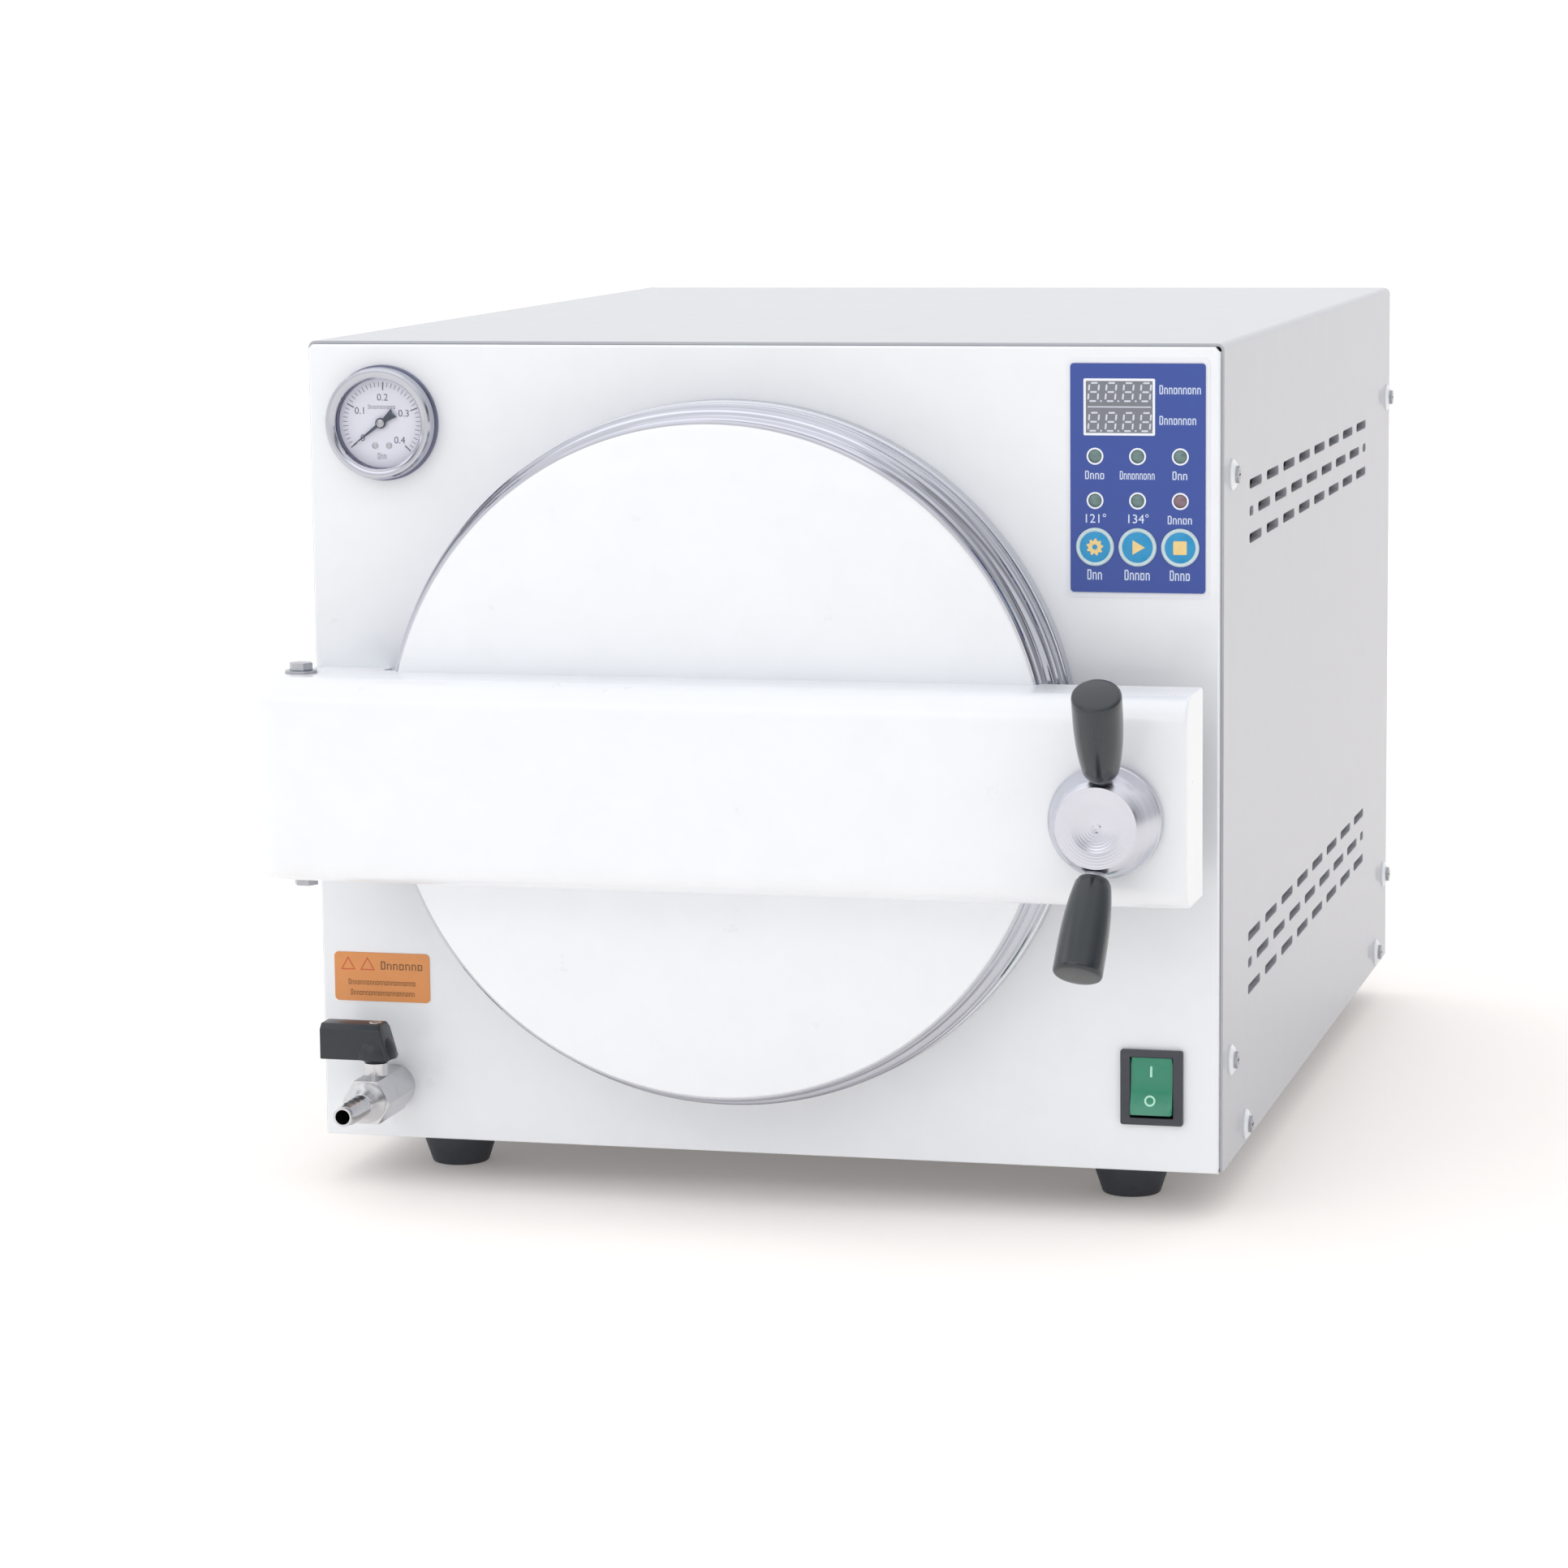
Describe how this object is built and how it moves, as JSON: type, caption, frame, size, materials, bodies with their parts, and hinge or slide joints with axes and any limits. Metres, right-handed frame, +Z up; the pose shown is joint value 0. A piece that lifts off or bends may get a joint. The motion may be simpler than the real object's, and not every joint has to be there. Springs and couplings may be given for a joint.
{
  "type": "benchtop autoclave",
  "caption": "Benchtop steam autoclave with a swinging round door, door bar with a closing knob, pressure gauge, keypad and drain valve.",
  "frame": {"origin": "middle of the whole machine's footprint, on the bench under the feet", "axes": "+X to the right seen from the front, +Y from the door towards the back, +Z up"},
  "size_m": [0.4128, 0.6872, 0.365],
  "materials": {
    "case_paint": "semi-gloss",
    "white_paint": "gloss",
    "zinc_steel": "satin",
    "rubber": "matt",
    "polished_steel": "polished",
    "stainless": "brushed",
    "fibre_wrap": "matt",
    "element_steel": "satin",
    "clear_glass": "clear",
    "dial_white": "matt",
    "needle_black": "satin",
    "copper": "satin",
    "blue_film": "satin",
    "display_grey": "gloss",
    "lamp_green": "gloss",
    "key_cyan": "satin",
    "board_green": "satin",
    "black_plastic": "satin",
    "lever_black": "satin",
    "grip_black": "gloss",
    "rocker_green": "gloss",
    "label_orange": "satin",
    "nickel": "satin",
    "brass": "satin",
    "silicone": "matt",
    "aluminium": "turned"
  },
  "bodies": {
    "cabinet": {"base_pan": "zinc_steel", "case_cover": "case_paint", "front_panel": "white_paint", "rear_panel": "case_paint", "rubber_feet": "rubber", "foot_screws": "zinc_steel", "side_screws": "zinc_steel", "cup_washers": "white_paint", "chamber_flange": "polished_steel", "chamber_vessel": "stainless", "chamber_saddles": "zinc_steel", "insulation_jacket": "fibre_wrap", "heating_element": "element_steel", "element_cover": "stainless", "tray_rack": "stainless", "instrument_trays": "stainless", "temperature_probe": "stainless", "gauge_case": "polished_steel", "gauge_bezel": "polished_steel", "gauge_lens": "clear_glass", "gauge_dial": "dial_white", "gauge_tube": "copper", "keypad_overlay": "blue_film", "display_module": "display_grey", "indicator_leds": "lamp_green", "control_board": "board_green", "switch_housing": "black_plastic", "label_plate": "label_orange", "drain_valve_body": "nickel", "hose_barb": "nickel", "drain_pipe": "copper", "hinge_bracket": "white_paint", "hinge_bolts": "zinc_steel", "hinge_washers": "zinc_steel", "latch_keeper": "zinc_steel", "power_inlet": "black_plastic", "fuse_holders": "black_plastic", "solenoid_valve": "brass", "exhaust_pipe": "copper", "exhaust_outlet": "nickel", "safety_valve": "brass"},
    "door": {"door_bar": "white_paint", "bar_core": "zinc_steel", "pivot_bolt": "stainless", "door_plate": "polished_steel", "door_trim_ring": "polished_steel", "door_cover": "white_paint", "door_gasket": "silicone"},
    "knob": {"clamp_spindle": "stainless", "knob_hub": "aluminium", "lever_rods": "stainless", "lever_grips": "grip_black"},
    "needle": {"gauge_needle": "needle_black"},
    "set_button": {"key_set": "key_cyan"},
    "start_button": {"key_start": "key_cyan"},
    "stop_button": {"key_stop": "key_cyan"},
    "power_rocker": {"rocker_paddle": "rocker_green"},
    "drain_handle": {"drain_stem": "nickel", "drain_lever": "lever_black"},
    "safety_pull": {"safety_ring": "stainless"}
  },
  "joints": [
    {"name": "door_swing", "type": "hinge", "parent": "cabinet", "child": "door", "pos_m": [-0.1804, -0.26753, 0.1855], "axis": [0, 0, -1], "range_deg": [0, 105]},
    {"name": "knob_turn", "type": "hinge", "parent": "door", "child": "knob", "pos_m": [0.1686, -0.30013, 0.1795], "axis": [0, 1, 0], "range_deg": [0, 90]},
    {"name": "needle_sweep", "type": "hinge", "parent": "cabinet", "child": "needle", "pos_m": [-0.1574, -0.22553, 0.3305], "axis": [0, 1, 0], "range_deg": [0, 260], "stiffness_Nm_per_rad": 0.0002},
    {"name": "set_press", "type": "slide", "parent": "cabinet", "child": "set_button", "axis": [0, 1, 0], "range_m": [0, 0.0006], "stiffness_N_per_m": 1500},
    {"name": "start_press", "type": "slide", "parent": "cabinet", "child": "start_button", "axis": [0, 1, 0], "range_m": [0, 0.0006], "stiffness_N_per_m": 1500},
    {"name": "stop_press", "type": "slide", "parent": "cabinet", "child": "stop_button", "axis": [0, 1, 0], "range_m": [0, 0.0006], "stiffness_N_per_m": 1500},
    {"name": "rocker_tilt", "type": "hinge", "parent": "cabinet", "child": "power_rocker", "pos_m": [0.1741, -0.21953, 0.056], "axis": [1, 0, 0], "range_deg": [0, 16]},
    {"name": "drain_lever_turn", "type": "hinge", "parent": "cabinet", "child": "drain_handle", "pos_m": [-0.1589, -0.24553, 0.0597], "axis": [0, 0, 1], "range_deg": [0, 90]},
    {"name": "safety_ring_pull", "type": "slide", "parent": "cabinet", "child": "safety_pull", "axis": [0, 1, 0], "range_m": [0, 0.003], "stiffness_N_per_m": 3000}
  ]
}
